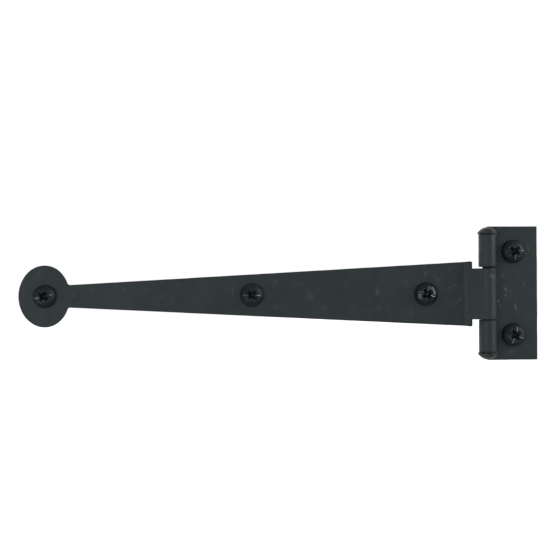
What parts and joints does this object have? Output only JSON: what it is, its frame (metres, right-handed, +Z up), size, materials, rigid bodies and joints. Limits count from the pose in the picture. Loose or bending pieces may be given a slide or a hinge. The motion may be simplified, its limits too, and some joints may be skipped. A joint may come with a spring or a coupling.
{
  "type": "t hinge",
  "caption": "Forged-look T hinge: tapered strap with an oval end, upright cross plate, domed pin and round-head cross-recess wood screws.",
  "frame": {"origin": "back face of the plate, midway between its two screws", "axes": "+Z up along the hinge pin; +X from the strap to the plate; +Y into the wall that the backs lie on, so -Y is the front"},
  "size_m": [0.1776, 0.0306, 0.0456],
  "materials": {
    "forged_black": "satin black powder coat over hammered sheet, faint green-grey tint, orange peel, small hammer dents",
    "pin_black": "satin black powder coat, peened domes",
    "screw_black": "glossy blue-black japanned steel"
  },
  "bodies": {
    "plate_side": {"plate": "forged_black", "hinge_pin": "pin_black", "plate_screw_top": "screw_black", "plate_screw_bottom": "screw_black"},
    "strap_side": {"strap": "forged_black", "strap_screw_neck": "screw_black", "strap_screw_middle": "screw_black", "strap_screw_end": "screw_black"}
  },
  "joints": [
    {"name": "swing", "type": "hinge", "parent": "plate_side", "child": "strap_side", "pos_m": [-0.0093, -0.0032, 0], "axis": [0, 0, 1], "range_deg": [-105, 180]}
  ]
}
